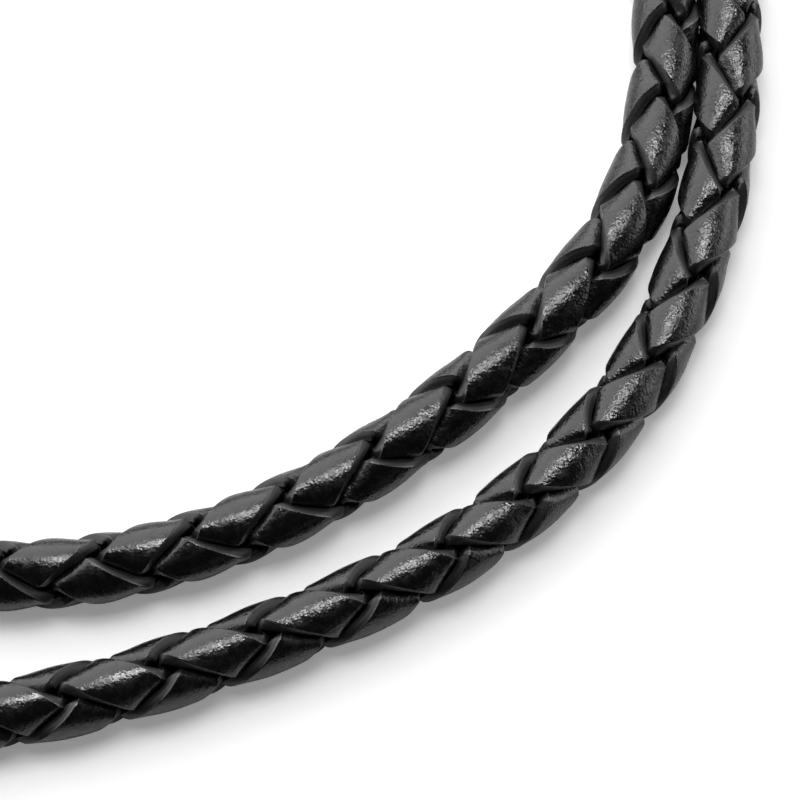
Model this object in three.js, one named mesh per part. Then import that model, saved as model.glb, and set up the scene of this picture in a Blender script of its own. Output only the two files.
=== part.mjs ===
// Leather choker: one round cord plaited from four flat leather laces, closed into a loop by a plain
// barrel clasp. It lies on a surface doubled into two turns, one beside the other, and passes over
// itself once in a long low hump.
//
// Millimetres, +Z up. The surface is z = 0, and the origin is under the middle of the whole choker.

import * as THREE from 'three';

// The cord
const CORD_WIDTH = 3; // across the flats of its section
const CORD_SIDES = 8;
const CORD_STEPS = 66; // one every two cord widths along the route

// The clasp
const CLASP_WIDTH = 5;
const CLASP_LENGTH = 18;
const CLASP_SIDES = 24;
const CLASP_CHAMFER = 0.5;
const SOCKET_DEPTH = 5;
const SOCKET_GAP = 0.3; // between the cord and the wall of its socket
const CLASP_TURN = 200; // degrees round the coil
const CLASP_FROM_MIDDLE = 33.6; // from the coil's middle to the barrel's axis

// The coil's middle on the surface
const COIL_X = 1.75;
const COIL_Y = 2.47;

// The cord's centreline from one socket to the other, anticlockwise through two turns.
// Each row is [degrees round the coil, distance from its middle, height].
const ROUTE = [
  [-152.7, 33.9, 2.5], // in the first socket
  [-145, 34.8, 2.5], // its mouth
  [-138.8, 36, 2.35],
  [-131.5, 37.15, 2],
  [-122.5, 37.8, 1.65],
  [-111, 37.8, 1.52], // down on the surface, on the outside
  [-99, 37, 1.5],
  [-86, 35.9, 1.5],
  [-70, 34.95, 1.5],
  [-53, 34.85, 1.5],
  [-37, 34.8, 1.5],
  [-22, 34.05, 1.5],
  [-7, 33.25, 1.5], // beside the second turn
  [10, 33.15, 1.5],
  [28, 33, 1.5],
  [46, 32.9, 1.5],
  [64, 32.6, 1.5],
  [82, 31.9, 1.5], // under the second turn, and inwards
  [100, 30.9, 1.5],
  [118, 29.9, 1.5],
  [136, 29.3, 1.5],
  [154, 28.9, 1.5],
  [172, 28.6, 1.5],
  [190, 28.4, 1.5], // past the clasp, on the inside
  [208, 28.5, 1.5],
  [226, 29, 1.5],
  [244, 29.5, 1.5],
  [262, 29.8, 1.5],
  [280, 29.8, 1.5],
  [298, 29.5, 1.5],
  [316, 29.7, 1.5],
  [334, 30.4, 1.5],
  [352, 29.95, 1.5],
  [370, 29.75, 1.51],
  [388, 29.6, 1.6],
  [406, 29.5, 2.1], // the hump begins
  [424, 29.6, 3.3],
  [442, 30.3, 4.6],
  [460, 31.9, 4.9], // over the first turn, and outwards
  [477, 33.8, 3.8],
  [493, 35.6, 2.5],
  [508, 37.1, 1.7],
  [521, 37.8, 1.6],
  [531.5, 37.15, 1.9],
  [538.8, 36, 2.3],
  [545, 34.8, 2.5], // the mouth of the second socket
  [552.7, 33.9, 2.5],
];

// The radius at the corners of a regular section, from its width across the flats.
const cornerRadius = (width, sides) => width / 2 / Math.cos(Math.PI / sides);

const onCoil = ([degrees, fromMiddle, height]) => {
  const turn = THREE.MathUtils.degToRad(degrees);
  return new THREE.Vector3(
    COIL_X + fromMiddle * Math.cos(turn),
    COIL_Y + fromMiddle * Math.sin(turn),
    height,
  );
};

// A smooth curve through the route whose frames never roll, so a flat of the section faces down.
class LevelRoute extends THREE.CatmullRomCurve3 {
  computeFrenetFrames(segments) {
    const up = new THREE.Vector3(0, 0, 1);
    const frames = { tangents: [], normals: [], binormals: [] };
    for (let i = 0; i <= segments; i += 1) {
      const tangent = this.getTangentAt(i / segments);
      const normal = new THREE.Vector3().crossVectors(up, tangent).normalize();
      frames.tangents.push(tangent);
      frames.normals.push(normal);
      frames.binormals.push(new THREE.Vector3().crossVectors(tangent, normal));
    }
    return frames;
  }
}

// A regular polygon with a flat on each side and on the bottom.
function cordSection() {
  const radius = cornerRadius(CORD_WIDTH, CORD_SIDES);
  const corners = [];
  for (let i = 0; i < CORD_SIDES; i += 1) {
    const angle = ((i + 0.5) / CORD_SIDES) * 2 * Math.PI;
    corners.push(new THREE.Vector2(radius * Math.cos(angle), radius * Math.sin(angle)));
  }
  return new THREE.Shape(corners);
}

function braidedCord() {
  const extrudePath = new LevelRoute(ROUTE.map(onCoil));
  const geometry = new THREE.ExtrudeGeometry(cordSection(), { extrudePath, steps: CORD_STEPS });
  const leather = new THREE.MeshStandardMaterial({ color: 0x141416, roughness: 0.4, metalness: 0 });
  const mesh = new THREE.Mesh(geometry, leather);
  mesh.name = 'braided_cord';
  return mesh;
}

// Half of the barrel's profile in [radius, distance along the axis], from its solid middle to the rim.
function claspProfile() {
  const outside = cornerRadius(CLASP_WIDTH, CLASP_SIDES);
  const socket = cornerRadius(CORD_WIDTH, CORD_SIDES) + SOCKET_GAP;
  const rim = CLASP_LENGTH / 2;
  const socketEnd = rim - SOCKET_DEPTH;
  const upperHalf = [
    [outside, rim - CLASP_CHAMFER],
    [outside - CLASP_CHAMFER, rim],
    [socket, rim],
    [socket, socketEnd],
    [0, socketEnd],
  ];
  const lowerHalf = upperHalf.map(([radius, along]) => [radius, -along]).reverse();
  return [...lowerHalf, ...upperHalf].map(([radius, along]) => new THREE.Vector2(radius, along));
}

function clasp() {
  const geometry = new THREE.LatheGeometry(claspProfile(), CLASP_SIDES);
  geometry.rotateY(Math.PI / CLASP_SIDES); // turns a flat to the surface
  const steel = new THREE.MeshStandardMaterial({ color: 0xb8babc, roughness: 0.3, metalness: 1 });
  const mesh = new THREE.Mesh(geometry, steel);
  mesh.name = 'clasp';
  mesh.position.copy(onCoil([CLASP_TURN, CLASP_FROM_MIDDLE, CLASP_WIDTH / 2]));
  mesh.rotation.z = THREE.MathUtils.degToRad(CLASP_TURN);
  return mesh;
}

const choker = new THREE.Group();
choker.add(braidedCord(), clasp());

export default choker;
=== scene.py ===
from math import cos, pi, radians, sin

import bpy
import numpy as np
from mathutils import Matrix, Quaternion, Vector


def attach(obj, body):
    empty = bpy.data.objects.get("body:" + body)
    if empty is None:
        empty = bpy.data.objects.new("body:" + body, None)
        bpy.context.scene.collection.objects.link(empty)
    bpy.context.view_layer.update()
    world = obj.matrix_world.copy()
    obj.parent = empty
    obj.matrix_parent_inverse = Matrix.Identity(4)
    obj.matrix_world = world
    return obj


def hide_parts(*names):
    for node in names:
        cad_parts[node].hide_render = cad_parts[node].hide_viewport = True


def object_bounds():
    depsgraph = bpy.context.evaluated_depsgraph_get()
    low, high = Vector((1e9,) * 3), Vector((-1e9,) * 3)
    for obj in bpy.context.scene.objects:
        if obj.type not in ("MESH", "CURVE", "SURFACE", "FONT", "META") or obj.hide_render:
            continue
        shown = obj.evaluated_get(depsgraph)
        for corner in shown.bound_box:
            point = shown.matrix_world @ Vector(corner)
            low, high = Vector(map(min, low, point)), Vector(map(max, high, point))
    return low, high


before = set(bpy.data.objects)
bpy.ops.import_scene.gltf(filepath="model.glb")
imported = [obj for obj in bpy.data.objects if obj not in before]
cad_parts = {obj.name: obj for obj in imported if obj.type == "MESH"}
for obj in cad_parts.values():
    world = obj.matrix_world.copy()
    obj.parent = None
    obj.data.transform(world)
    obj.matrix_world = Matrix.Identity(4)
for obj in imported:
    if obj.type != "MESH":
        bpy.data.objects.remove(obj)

cad_low, cad_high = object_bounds()

# --- The camera ------------------------------------------------------------------------------------
# It stands in front of the choker with a long lens, looks down on the near right quarter of the doubled
# loop, and is close enough that each crossing of the plait can be read.

CAMERA_ELEVATION = radians(65)
CAMERA_DISTANCE = 0.14704
# The point that it looks at, as shares of the way from the origin to the model's right and near sides.
TARGET_RIGHT, TARGET_NEAR = 0.532, 0.535
TARGET_HEIGHT = 0.0015

target = Vector((TARGET_RIGHT * cad_high.x, TARGET_NEAR * cad_low.y, TARGET_HEIGHT))
camera_data = bpy.data.cameras.new("camera")
camera_data.lens = 150
camera_data.sensor_width = 36
camera_data.clip_start = 0.01
camera_data.clip_end = 20
camera = bpy.data.objects.new("camera", camera_data)
camera.location = target + CAMERA_DISTANCE * Vector((0, -cos(CAMERA_ELEVATION), sin(CAMERA_ELEVATION)))
camera.rotation_euler = (pi / 2 - CAMERA_ELEVATION, 0, 0)
bpy.context.collection.objects.link(camera)
bpy.context.scene.camera = camera

# --- The plaited cord ------------------------------------------------------------------------------
# Four flat leather laces plaited round, each over one and under one. Two run round the cord one way
# and two the other, and they show in four columns of pillows. Both ends are glued into the clasp.

MM = 0.001 # sizes of the cord and the clasp are in millimetres
COIL_X, COIL_Y = 1.75, 2.47 # the middle of the coil in which the cord lies
# The centreline from one socket to the other: degrees round the coil, from +X towards +Y, distance
# from its middle, and height.
ROUTE = [
    (-152.7, 33.9, 2.5), (-145, 34.8, 2.5), (-138.8, 36, 2.35), (-131.5, 37.15, 2), (-122.5, 37.8, 1.65),
    (-111, 37.8, 1.52), (-99, 37, 1.5), (-86, 35.9, 1.5), (-70, 34.95, 1.5), (-53, 34.85, 1.5),
    (-37, 34.8, 1.5), (-22, 34.05, 1.5), (-7, 33.25, 1.5), (10, 33.15, 1.5), (28, 33, 1.5),
    (46, 32.9, 1.5), (64, 32.6, 1.5), (82, 31.9, 1.5), (100, 30.9, 1.5), (118, 29.9, 1.5),
    (136, 29.3, 1.5), (154, 28.9, 1.5), (172, 28.6, 1.5), (190, 28.4, 1.5), (208, 28.5, 1.5),
    (226, 29, 1.5), (244, 29.5, 1.5), (262, 29.8, 1.5), (280, 29.8, 1.5), (298, 29.5, 1.5),
    (316, 29.7, 1.5), (334, 30.4, 1.5), (352, 29.95, 1.5), (370, 29.75, 1.51), (388, 29.6, 1.6),
    (406, 29.5, 2.1), (424, 29.6, 3.3), (442, 30.3, 4.6), (460, 31.9, 4.9), (477, 33.8, 3.8),
    (493, 35.6, 2.5), (508, 37.1, 1.7), (521, 37.8, 1.6), (531.5, 37.15, 1.9), (538.8, 36, 2.3),
    (545, 34.8, 2.5), (552.7, 33.9, 2.5),
]
ROUTE_STEPS = 40 # points of the line from each row of the route to the next
# How the plait lies along the cord: millimetres from the first end, crossings passed, and the degrees
# that the first column is turned from the top towards the coil's middle.
PLAIT = [
    (0, 0, 80), (42, 19, 84), (50.8, 23, 86), (59.85, 27, 82), (68.2, 31, 69),
    (77, 35, 66), (91, 41, 44), (120, 54, 36), (180, 81, 20), (241.55, 108, 22),
    (249.92, 112, 19), (258.68, 116, 3), (267.7, 120, -12), (276.8, 124, -14), (290, 130, -12),
    (345, 154, 0), (397, 177, 10),
]
# How the plait strays from the route, most of all where the two turns press together: millimetres from
# the first end, how far it leans towards the coil's middle, and how much its radius grows.
STRAY = [
    (0, 0, 0), (40, -0.05, 0), (46.5, 0.07, 0), (51, 0.13, 0), (55.8, 0.065, 0), (60.3, -0.04, 0),
    (66, -0.12, 0), (73, -0.05, 0), (81, 0.09, 0.03), (92, 0.18, 0.04), (102, 0.15, 0.03), (120, 0, 0),
    (150, 0, 0), (220, 0, 0), (238, -0.04, 0), (245, -0.08, 0), (252, -0.1, 0), (259, 0.11, 0),
    (264, 0.17, 0.03), (268, 0.14, 0.04), (277, -0.24, 0.07), (290, -0.16, 0.08),
    (305, -0.06, 0.03), (320, 0, 0), (360, 0, 0), (397, 0, 0),
]
BESIDE = (-60, 30) # where the two turns lie side by side, in degrees round the coil
PRESS_GAP = 0.005 # from each turn to the face in which they are pressed flat

COLUMN = 90 # from one column of pillows to the next, in degrees round the cord
REPEAT = 4 # from one crest of a lace to its next, in half crossings
CREST = 1.59 # from the cord's middle to a pillow's crest
LACE_REACH = 0.9 # half of a lace's width, where 1 is nearly edge to edge
LACE_THICK = 0.55
LACE_BELLY = 0.12 # how much thicker it is in the middle, where it lies inside the cord
LACE_SKIRT = 1.12 # share of that half width at which the cut edge ends, pressed under the next lace
LACE_STEP = 0.683 # how far a lace's edge lies along the cord from its middle, in half crossings
LACE_TURN = 0.877 # and round the cord, in eighths of a turn
SWAY = 0.2 # by how much a lace turns less on top of the plait and more inside it
ARCH_DROP = 0.42 # from a lace's crest to its middle, out to where the next one covers it
ARCH_POWER = 2.5 # 2 is an even arch, and more is flatter on top
ARCH_FLAT = 0.74 # share of that drop which the edges are spared
EDGE_DROP = 0.07 # from the middle of a lace to its edges
COVER = 1.38 # from the crest to where a lace is covered, in half crossings
COVER_SLANT = 0.17 # by how much sooner that is at a pillow's sides, and later at its tips
DIVE = 0.3 # the further drop under the next lace's edge
DIVE_EDGE = 0.6 # and the more of it at this lace's edges
DIVE_START, DIVE_END = -0.22, 0.08 # around where it is covered
DIVE_UNSEEN = 0.75 # share of the dive from which it is painted near black as painted shade, since hardly any light reaches it
SWELL = 0.025 # how much a lace's crest rises and falls
RAGGED = 0.025 # how much its edges run in and out, as a share of its width
WANDER = ((9, 0.5), (4.1, 0.35), (1.7, 0.15)) # waves of both: length in half crossings, and share
RINGS_A_CROSSING = 16
SLOPE_STEP = 0.02 # over which a lace's slope is measured, in half crossings
MM_ALONG, MM_ACROSS = 1.5, 1.28 # size of a half crossing on the leather itself


def cubic(start, end, leaving, arriving, w):
    """A cubic from start to end with these slopes at its ends, at each share w of the way."""
    return (start + leaving * w + (3 * (end - start) - 2 * leaving - arriving) * w**2
            + (2 * (start - end) + leaving + arriving) * w**3)


def smooth_rows(at, rows):
    """The later columns of rows at each place of the first one, on smooth curves."""
    rows = np.array(rows, float)
    x, y = rows[:, 0], rows[:, 1:]
    slope = np.gradient(y, x, axis=0)
    i = np.clip(np.searchsorted(x, at) - 1, 0, len(x) - 2)
    width = (x[i + 1] - x[i])[:, None]
    w = (np.asarray(at)[:, None] - x[i][:, None]) / width
    return cubic(y[i], y[i + 1], slope[i] * width, slope[i + 1] * width, w).T


def centreline(rows):
    """Points along a centripetal curve through the route."""
    turn, from_middle, height = np.array(rows, float).T
    turn = np.radians(turn)
    points = np.stack([COIL_X + from_middle * np.cos(turn), COIL_Y + from_middle * np.sin(turn), height], 1)
    points = np.vstack([2 * points[0] - points[1], points, 2 * points[-1] - points[-2]])
    w = np.linspace(0, 1, ROUTE_STEPS, endpoint=False)[:, None]
    line = []
    for p0, p1, p2, p3 in zip(points, points[1:], points[2:], points[3:]):
        d0, d1, d2 = (np.linalg.norm(b - a) ** 0.5 for a, b in ((p0, p1), (p1, p2), (p2, p3)))
        t1 = ((p1 - p0) / d0 - (p2 - p0) / (d0 + d1) + (p2 - p1) / d1) * d1
        t2 = ((p2 - p1) / d1 - (p3 - p1) / (d1 + d2) + (p3 - p2) / d2) * d1
        line.append(cubic(p1, p2, t1, t2, w))
    return np.vstack([*line, points[-2:-1]])


def round_the_coil(points):
    """Each point's offset from the coil's middle, its distance from there, and its bearing in radians."""
    offset = points[..., :2] - (COIL_X, COIL_Y)
    x, y = offset[..., 0], offset[..., 1]
    return offset, np.hypot(x, y), np.arctan2(y, x)


line = centreline(ROUTE)
along = np.concatenate([[0], np.cumsum(np.linalg.norm(np.diff(line, axis=0), axis=1))])
tangent = np.gradient(line, along, axis=0)
tangent /= np.linalg.norm(tangent, axis=1)[:, None]
level = np.cross([0, 0, 1], tangent)
level /= np.linalg.norm(level, axis=1)[:, None]
upward = np.cross(tangent, level)
crossings, roll = smooth_rows(along, PLAIT)
lean, growth = smooth_rows(along, STRAY)
line = line + lean[:, None] * level
line_reach, line_bearing = round_the_coil(line)[1:]
line_degrees = np.degrees(np.unwrap(line_bearing))


def frames_at(distance):
    """The centreline's point, level direction and upward direction at each distance along it."""
    return [np.stack([np.interp(distance, along, column) for column in table.T], -1)
            for table in (line, level, upward)]


def wander(at, seed):
    """A smooth random wave between about -1 and 1."""
    draw = np.random.default_rng(seed)
    wave = np.zeros_like(at)
    for length, share in WANDER:
        wave += share * np.sin(2 * pi * (at / length + draw.random()))
    return wave


def smooth(value, start, end):
    """0 up to start and 1 from end on, with an even curve between them."""
    share = np.clip((value - start) / (end - start), 0, 1)
    return share**2 * (3 - 2 * share)


def lace_section():
    """A lace's outline, round from the left edge, in three columns: share of its half width, depth below
    its upper face, and how far round its corner it is. There 0 is the face, a half is the corner itself,
    1 is the cut edge, and 2 is inside the cord, where it never shows."""
    face = [(a, 0, 0) for a in np.linspace(-0.79, 0.79, 11)]
    corner = [(0.815, 0.003, 0.1), (0.833, 0.015, 0.35), (0.848, 0.032, 0.55), (0.865, 0.055, 0.8)]
    cut_edge = [(0.91, 0.11, 1), (0.96, 0.165, 1), (1, 0.24, 1), (1.05, 0.34, 1)]
    side = [(LACE_SKIRT, 0.42, 2), (LACE_SKIRT, LACE_THICK, 2)]
    under = [(a, LACE_THICK + LACE_BELLY, 2) for a in (0.5, -0.5)]
    right = corner + cut_edge
    left = [(-a, d, c) for a, d, c in reversed(right)]
    left_side = [(-a, d, c) for a, d, c in reversed(side)]
    return np.array(left + face + right + side + under + left_side)


def upper_face(own, v, hand, number, swell):
    """Points on a lace's upper face, the way out of the cord there, and the share of the dive under the
    next lace. own and v count half crossings along the lace and across it."""
    half = REPEAT / 2
    from_crest = ((own if hand > 0 else own - half) + half) % REPEAT - half
    passed = (own - hand * LACE_STEP * v) / 2
    sway = SWAY * np.sin(pi * from_crest / half)
    turned = COLUMN * ((hand * (own - sway) + LACE_TURN * v) / 2 + 2 * number)
    cover = COVER - COVER_SLANT * hand * np.sign(from_crest) * v / LACE_REACH
    from_crest = np.abs(from_crest)
    rise = np.clip(from_crest / cover, 0, 1) ** ARCH_POWER
    share = (v / LACE_REACH) ** 2
    dive = smooth(from_crest, cover + DIVE_START, cover + DIVE_END)
    drop = ARCH_DROP * rise * (1 - ARCH_FLAT * share) + EDGE_DROP * share
    drop = drop + DIVE * dive * (1 + DIVE_EDGE * share)
    distance = np.interp(passed, crossings, along)
    point, to_middle, to_top = frames_at(distance)
    angle = np.radians(turned + np.interp(distance, along, roll))[..., None]
    out = np.cos(angle) * to_top + np.sin(angle) * to_middle
    radius = CREST + np.interp(distance, along, growth) + swell - drop
    return point + radius[..., None] * out, out, dive


def press_flat(points, inner_turn):
    """Moves points so that the two turns lie flat against each other, and the lower one on the table.
    inner_turn says which of the points are on the inner turn."""
    offset, reach, bearing = round_the_coil(points)
    degrees = np.degrees(bearing)
    meeting = (np.interp(degrees, line_degrees, line_reach)
               + np.interp(degrees + 360, line_degrees, line_reach)) / 2
    pressed = np.where(inner_turn, np.minimum(reach, meeting - PRESS_GAP),
                       np.maximum(reach, meeting + PRESS_GAP))
    beside = (degrees > BESIDE[0]) & (degrees < BESIDE[1])
    points[..., :2] = (COIL_X, COIL_Y) + offset * np.where(beside, pressed / reach, 1)[..., None]
    points[..., 2] = np.maximum(points[..., 2], 0)


def add_piece(name, points, faces):
    """A piece with these points, in millimetres, and these faces."""
    mesh = bpy.data.meshes.new(name)
    mesh.from_pydata((points.reshape(-1, 3) * MM).tolist(), [], faces)
    mesh.validate()
    mesh.shade_smooth()
    piece = bpy.data.objects.new(name, mesh)
    bpy.context.collection.objects.link(piece)
    return piece


def make_lace(name, hand, number):
    """One lace. hand is 1 if it runs round the cord towards the coil's middle as it goes on, and -1 if
    it runs the other way. The two laces of a hand are numbers 0 and 1."""
    across, depth, cut = lace_section().T[:, None]
    # It starts and ends one crossing inside the cord's ends.
    first, last = 2 * crossings[0] + 2, 2 * crossings[-1] - 2
    rings = int((last - first) / 2 * RINGS_A_CROSSING)
    own = np.linspace(first, last, rings)[:, None]
    seed = 100 * number + 10 * hand + 10
    swell = SWELL * wander(own, seed + 2)
    ragged = 1 + RAGGED * np.where(across < 0, wander(own, seed), wander(own, seed + 1))
    v = across * LACE_REACH * ragged
    lace_at = (hand, number, swell)
    points, out, dive = upper_face(own, v, *lace_at)
    normal = np.cross(
        upper_face(own + SLOPE_STEP, v, *lace_at)[0] - upper_face(own - SLOPE_STEP, v, *lace_at)[0],
        upper_face(own, v + SLOPE_STEP, *lace_at)[0] - upper_face(own, v - SLOPE_STEP, *lace_at)[0])
    normal *= np.sign((normal * out).sum(-1))[..., None]
    normal /= np.linalg.norm(normal, axis=-1)[..., None]
    points = points - depth[..., None] * normal
    press_flat(points, np.broadcast_to(own > (first + last) / 2, v.shape))

    grid = np.arange(v.size).reshape(v.shape)
    near, far = grid[:-1], grid[1:]
    faces = np.stack([far, np.roll(far, -1, 1), np.roll(near, -1, 1), near], -1).reshape(-1, 4)
    ends = [grid[0].tolist(), grid[-1][::-1].tolist()]
    lace = add_piece(name, points, faces.tolist() + ends)
    for value_name, values in (("along", own * MM_ALONG), ("across", v * MM_ACROSS), ("cut", cut),
                               ("covered", smooth(dive, DIVE_UNSEEN, 1))):
        attribute = lace.data.attributes.new(value_name, "FLOAT", "POINT")
        attribute.data.foreach_set("value", np.broadcast_to(values, v.shape).ravel())
    return lace


laces = [make_lace(f"lace_{i + 1}", hand, number)
         for i, (hand, number) in enumerate([(1, 0), (1, 1), (-1, 0), (-1, 1)])]

DYED_FACE = (0.003, 0.0028, 0.0036)
CUT_EDGE = (0.0052, 0.005, 0.005)
# The paler corner is a painted highlight along the laces' edges, and partly rubbed wear.
CORNER_HIGHLIGHT_AND_WEAR = (0.07, 0.068, 0.066)
# Near-black painted shade for the pits and seams between the laces.
PAINTED_PIT_SHADE = (0.001, 0.001, 0.001)
# How rough the face is where it is most and least waxed, and how rough the cut edge is.
WAXED, DULL, EDGE_ROUGH = 0.18, 0.34, 0.46
FACE_SHINE, EDGE_SHINE, PIT_SHINE = 0.5, 0.46, 0.05
# The leather's marks, in features a metre, but the creases in features a millimetre.
HIGHLIT_AND_RUBBED_PATCHES, GLOSS_BLOTCHES, PEBBLES, TOOTH = 900, 2600, 8000, 13000
CREASES = 3.2
CREASE_NARROWING = 0.7 # so that a crease is longer across a lace than along it
# How far each stands out, where 1 is the leather's relief. A pebble is highest in its middle.
PEBBLE_RISE, CREASE_RISE, TOOTH_RISE = -0.19, 0.34, 0.1
LEATHER_RELIEF = 0.0001
EDGE_RELIEF = 0.4 # how much of it the cut edge has
CALM, CRUMPLED = 0.65, 1.1 # how much of it the left and the right of the coil have
CALM_UP_TO, CRUMPLED_FROM = 0.008, 0.03 # along X, in metres

leather = bpy.data.materials.new("black_leather")
leather.use_nodes = True
nodes, links = leather.node_tree.nodes, leather.node_tree.links
surface = nodes["Principled BSDF"]
surface.inputs["IOR"].default_value = 1.56


def carried_value(name):
    """A value that the laces carry at each of their points."""
    node = nodes.new("ShaderNodeAttribute")
    node.attribute_name = name
    return node.outputs["Fac"]


def scaled_noise(vector, scale, detail):
    """A noise texture of the material, with scale in features to each unit of the vector."""
    noise = nodes.new("ShaderNodeTexNoise")
    noise.inputs["Scale"].default_value = scale
    noise.inputs["Detail"].default_value = detail
    noise.inputs["Roughness"].default_value = 0.6
    links.new(vector, noise.inputs["Vector"])
    return noise.outputs["Fac"]


def ranged(value, low, high, to_low, to_high):
    """The value with low to high carried over to to_low to to_high, held at both ends."""
    node = nodes.new("ShaderNodeMapRange")
    node.inputs["From Min"].default_value = low
    node.inputs["From Max"].default_value = high
    node.inputs["To Min"].default_value = to_low
    node.inputs["To Max"].default_value = to_high
    links.new(value, node.inputs["Value"])
    return node.outputs["Result"]


def combined(operation, a, b):
    """Two values put together by one step of arithmetic."""
    node = nodes.new("ShaderNodeMath")
    node.operation = operation
    for socket, value in zip(node.inputs, (a, b)):
        if isinstance(value, (int, float)):
            socket.default_value = value
        else:
            links.new(value, socket)
    return node.outputs["Value"]


def blended(share, under, over):
    """One colour laid over another by a share. Each is three numbers or comes from a node."""
    node = nodes.new("ShaderNodeMix")
    node.data_type = "RGBA"
    links.new(share, node.inputs["Factor"])
    for socket, colour in (("A", under), ("B", over)):
        if isinstance(colour, tuple):
            node.inputs[socket].default_value = (*colour, 1)
        else:
            links.new(colour, node.inputs[socket])
    return node.outputs["Result"]


def add_bump(height, strength, distance):
    """Fine relief on the surface. A height of 1 stands out by the distance, in metres."""
    bump = nodes.new("ShaderNodeBump")
    bump.inputs["Strength"].default_value = strength
    bump.inputs["Distance"].default_value = distance
    links.new(height, bump.inputs["Height"])
    links.new(bump.outputs["Normal"], surface.inputs["Normal"])


place = nodes.new("ShaderNodeTexCoord").outputs["Object"]
cut = carried_value("cut")


def past_corner(on_face, on_edge):
    """A value that changes from the dyed face to the cut edge, just past the corner between them."""
    return ranged(cut, 0.5, 0.9, on_face, on_edge)


# The dyed face is blacker than the cut edge. The corner between them is painted paler in patches, partly as
# a painted highlight along the edge and partly as rubbed wear.
dyed = blended(past_corner(0, 1), DYED_FACE, CUT_EDGE)
corner = combined("MULTIPLY", ranged(cut, 0.1, 0.5, 0, 1), past_corner(1, 0))
patches = ranged(scaled_noise(place, HIGHLIT_AND_RUBBED_PATCHES, detail=2), 0.35, 0.6, 0.15, 0.9)
highlit_and_rubbed = blended(combined("MULTIPLY", corner, patches), dyed, CORNER_HIGHLIGHT_AND_WEAR)
# Deep between the laces hardly any light gets out, so their hidden sides and each dive under the next lace
# are painted near black as painted shade, which also paints a dark seam like a contact shadow.
pit_shade = combined("MAXIMUM", ranged(cut, 1.1, 1.7, 0, 1), carried_value("covered"))
links.new(blended(pit_shade, highlit_and_rubbed, PAINTED_PIT_SHADE), surface.inputs["Base Color"])

# The wax is rubbed to a gloss in blotches. The cut edge has none and is duller.
gloss = ranged(scaled_noise(place, GLOSS_BLOTCHES, detail=3), 0.38, 0.62, WAXED, DULL)
links.new(combined("MAXIMUM", gloss, past_corner(0, EDGE_ROUGH)), surface.inputs["Roughness"])
# The shine is turned down in the painted pit shade too, so that no reflection shows there.
shine = combined("MINIMUM", past_corner(FACE_SHINE, EDGE_SHINE), ranged(pit_shade, 0, 1, FACE_SHINE, PIT_SHINE))
links.new(shine, surface.inputs["Specular IOR Level"])

# Pebbled grain, creases that follow each lace, and a fine tooth. They are weaker on the cut edge, and
# the leather on the right of the coil is the most crumpled.
pebbles = nodes.new("ShaderNodeTexVoronoi")
pebbles.feature = "SMOOTH_F1"
pebbles.inputs["Scale"].default_value = PEBBLES
pebbles.inputs["Smoothness"].default_value = 0.5
links.new(place, pebbles.inputs["Vector"])
on_lace = nodes.new("ShaderNodeCombineXYZ")
links.new(carried_value("along"), on_lace.inputs["X"])
links.new(combined("MULTIPLY", carried_value("across"), CREASE_NARROWING), on_lace.inputs["Y"])
creases = scaled_noise(on_lace.outputs["Vector"], CREASES, detail=3)
tooth = scaled_noise(place, TOOTH, detail=3)
fine_relief = combined("ADD", combined("MULTIPLY", creases, CREASE_RISE),
                       combined("MULTIPLY", tooth, TOOTH_RISE))
relief = combined("ADD", combined("MULTIPLY", pebbles.outputs["Distance"], PEBBLE_RISE), fine_relief)
relief = combined("MULTIPLY", relief, ranged(cut, 0.2, 0.7, 1, EDGE_RELIEF))
split_place = nodes.new("ShaderNodeSeparateXYZ")
links.new(place, split_place.inputs["Vector"])
crumple = ranged(split_place.outputs["X"], CALM_UP_TO, CRUMPLED_FROM, CALM, CRUMPLED)
add_bump(combined("MULTIPLY", relief, crumple), strength=0.8, distance=LEATHER_RELIEF)

for lace in laces:
    lace.data.materials.append(leather)
    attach(lace, "root")
    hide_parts("braided_cord")

# --- The clasp -------------------------------------------------------------------------------------
# A plain steel barrel, turned from rod, drilled at each end and brushed along its length. The cord's
# two ends are glued in the sockets.

CLASP_RADIUS = 2.5
CLASP_LENGTH = 18
CLASP_TURN = radians(200) # where it lies round the coil
CLASP_FROM_MIDDLE = 33.6 # from the coil's middle to the barrel's
SOCKET_RADIUS = 1.92
SOCKET_DEPTH = 5
RIM_ROUND = 0.45
LIP_ROUND = 0.06
CLASP_SIDES = 96
STEEL_DARK = (0.55, 0.55, 0.56)
STEEL_BRIGHT = (0.66, 0.66, 0.67)
HAIRLINES, SMUDGES = 14000, 420 # features a metre
HAIRLINE_STRETCH = 40 # how many times as long as wide they are
POLISHED, BRUSHED, SMUDGED = 0.16, 0.3, 0.1 # roughness, and what a smudge adds to it
STEEL_RELIEF = 0.00001

# Half of the outline, from the bottom of a socket round its lip to the middle of the barrel: radius,
# and distance along the barrel.
half_length = CLASP_LENGTH / 2
socket_end = half_length - SOCKET_DEPTH
quarter = np.radians(np.linspace(0, 90, 9))
bottom = [(SOCKET_RADIUS * share, socket_end) for share in (0.5, 0.98, 1)]
bore = [(SOCKET_RADIUS, socket_end + d) for d in (0.04, 2.4, SOCKET_DEPTH - 2 * LIP_ROUND)]
lip = [(SOCKET_RADIUS + LIP_ROUND * (1 - cos(a)), half_length - LIP_ROUND * (1 - sin(a)))
       for a in quarter[::2]]
rim = [(CLASP_RADIUS - RIM_ROUND * (1 - sin(a)), half_length - RIM_ROUND * (1 - cos(a))) for a in quarter]
body = [(CLASP_RADIUS, y) for y in (8, 6.5, 5, 3.5, 2, 0.7)]
profile = np.array(bottom + bore + lip + rim + body)
profile = np.vstack([profile, profile[::-1] * (1, -1)])

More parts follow.
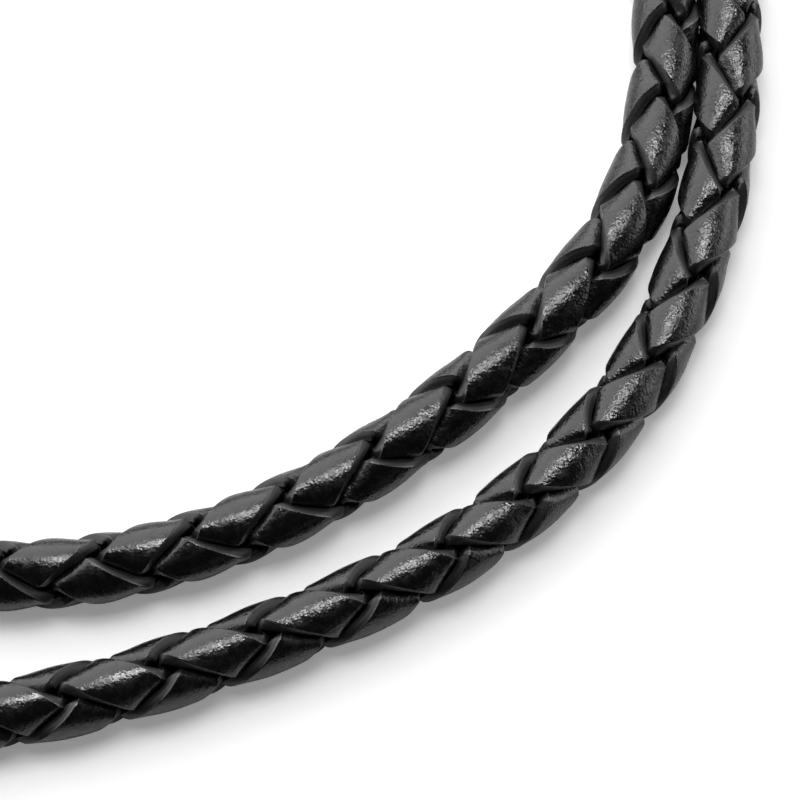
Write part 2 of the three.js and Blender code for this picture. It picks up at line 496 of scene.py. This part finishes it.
middle = Vector((COIL_X + CLASP_FROM_MIDDLE * cos(CLASP_TURN), COIL_Y + CLASP_FROM_MIDDLE * sin(CLASP_TURN)))
round_it = np.linspace(0, 2 * pi, CLASP_SIDES, endpoint=False)
radius, axial = profile.T[:, :, None]
sideways, height = radius * np.cos(round_it), radius * np.sin(round_it) + CLASP_RADIUS
turned_x = middle.x + sideways * cos(CLASP_TURN) - axial * sin(CLASP_TURN)
turned_y = middle.y + sideways * sin(CLASP_TURN) + axial * cos(CLASP_TURN)
points = np.stack([turned_x, turned_y, height], -1).reshape(-1, 3)
grid = np.arange(len(points)).reshape(len(profile), CLASP_SIDES)
next_side = np.roll(grid, -1, 1)
quads = np.stack([next_side[:-1], next_side[1:], grid[1:], grid[:-1]], -1).reshape(-1, 4)
# A fan of triangles closes the bottom of each socket.
ends = []
for ring, sign in ((0, 1), (-1, -1)):
    centre = len(points)
    along_axis = sign * socket_end
    points = np.vstack([points, [middle.x - along_axis * sin(CLASP_TURN),
                                 middle.y + along_axis * cos(CLASP_TURN), CLASP_RADIUS]])
    ends += [[centre, int(a), int(b)][::-sign] for a, b in zip(grid[ring], next_side[ring])]
clasp = add_piece("clasp_barrel", points, quads.tolist() + ends)

steel = bpy.data.materials.new("brushed_steel")
steel.use_nodes = True
nodes, links = steel.node_tree.nodes, steel.node_tree.links
surface = nodes["Principled BSDF"]
surface.inputs["Metallic"].default_value = 1
place = nodes.new("ShaderNodeTexCoord").outputs["Object"]
# The brush ran along the barrel and left hairlines, and hands have left smudges.
brushed = nodes.new("ShaderNodeMapping")
brushed.vector_type = "TEXTURE"
brushed.inputs["Rotation"].default_value = (0, 0, CLASP_TURN)
brushed.inputs["Scale"].default_value = (1, HAIRLINE_STRETCH, 1)
links.new(place, brushed.inputs["Vector"])
hairlines = scaled_noise(brushed.outputs["Vector"], HAIRLINES, detail=3)
smudges = scaled_noise(place, SMUDGES, detail=4)
tint = combined("MULTIPLY", combined("ADD", hairlines, smudges), 0.5)
links.new(blended(tint, STEEL_DARK, STEEL_BRIGHT), surface.inputs["Base Color"])
roughness = combined("ADD", ranged(hairlines, 0.3, 0.7, POLISHED, BRUSHED),
                     ranged(smudges, 0.4, 0.65, 0, SMUDGED))
links.new(roughness, surface.inputs["Roughness"])
add_bump(hairlines, strength=0.35, distance=STEEL_RELIEF)
clasp.data.materials.append(steel)
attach(clasp, "root")
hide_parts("clasp")

# --- The table and the light -----------------------------------------------------------------------
# A matt white table in a dark studio with two pale walls. A wide soft panel overhead lights it but
# leaves no reflection, and a long narrow strip near the panel shows only as a reflection.

TABLE_WHITE = (0.86, 0.86, 0.87)
TABLE_SHADED = (0.15, 0.15, 0.153)
TABLE_GLOW = 0.24
SHADE_START, SHADE_END = 0.003, 0.02 # how far from the choker, in metres
GLOW_COLOUR = (1, 0.99, 1)
LIGHT_DISTANCE = 0.8
WALL_COLOUR = (1, 0.985, 0.975)
STUDIO_DARK = 0.02

bpy.ops.mesh.primitive_plane_add(size=4, location=(0, 0, 0))
table = bpy.context.object
table.name = "table"
white = bpy.data.materials.new("white_table")
white.use_nodes = True
nodes, links = white.node_tree.nodes, white.node_tree.links
surface = nodes["Principled BSDF"]
surface.inputs["Roughness"].default_value = 0.6
surface.inputs["Emission Color"].default_value = (*GLOW_COLOUR, 1)
# Seen directly, the table is lifted to plain white by a weak glow. Reflected in the choker, it is
# white close by and dark further out.
ray = nodes.new("ShaderNodeLightPath")
glow = combined("MULTIPLY", ray.outputs["Is Camera Ray"], TABLE_GLOW)
links.new(glow, surface.inputs["Emission Strength"])
further_out = ranged(ray.outputs["Ray Length"], SHADE_START, SHADE_END, 0, 1)
shaded = combined("MULTIPLY", ray.outputs["Is Glossy Ray"], further_out)
links.new(blended(shaded, TABLE_WHITE, TABLE_SHADED), surface.inputs["Base Color"])
table.data.materials.append(white)


def softbox(name, bearing, elevation, width, height, radiance, turn):
    """An area light that faces the choker. bearing is in degrees from +X towards +Y, and turn is about
    the way that it faces."""
    data = bpy.data.lights.new(name, "AREA")
    data.shape = "RECTANGLE"
    data.size, data.size_y = width, height
    data.energy = radiance * pi * width * height
    light = bpy.data.objects.new(name, data)
    bearing, elevation = radians(bearing), radians(elevation)
    back = Vector((cos(bearing) * cos(elevation), sin(bearing) * cos(elevation), sin(elevation)))
    light.location = target + LIGHT_DISTANCE * back
    light.rotation_mode = "QUATERNION"
    light.rotation_quaternion = back.to_track_quat("Z", "Y") @ Quaternion((0, 0, 1), radians(turn))
    bpy.context.collection.objects.link(light)
    return light


strip = softbox("strip", bearing=70, elevation=75, width=0.1, height=0.5, radiance=31, turn=-65)
strip.visible_diffuse = False
ceiling = softbox("ceiling", bearing=98, elevation=78, width=0.42, height=0.42, radiance=5.8, turn=0)
ceiling.visible_glossy = False

world = bpy.data.worlds.new("studio")
bpy.context.scene.world = world
world.use_nodes = True
nodes, links = world.node_tree.nodes, world.node_tree.links
direction = nodes.new("ShaderNodeTexCoord").outputs["Generated"]


def wall(facing, start, end, strength):
    """A wall of light. It fades in from start to end, as cosines of the angle from facing."""
    toward = nodes.new("ShaderNodeVectorMath")
    toward.operation = "DOT_PRODUCT"
    toward.inputs[1].default_value = facing
    links.new(direction, toward.inputs[0])
    light = ranged(toward.outputs["Value"], start, end, 0, strength)
    light.node.interpolation_type = "SMOOTHSTEP"
    return light


# A wide wall at the back left, and a narrower one on the right.
walls = combined("ADD", wall(facing=(-0.59, 0.81, 0), start=0.25, end=0.6, strength=2.6),
                 wall(facing=(0.93, 0.36, 0), start=0.77, end=0.94, strength=2.5))
links.new(combined("ADD", walls, STUDIO_DARK), nodes["Background"].inputs["Strength"])
nodes["Background"].inputs["Color"].default_value = (*WALL_COLOUR, 1)
bpy.context.scene.view_settings.view_transform = "Standard"
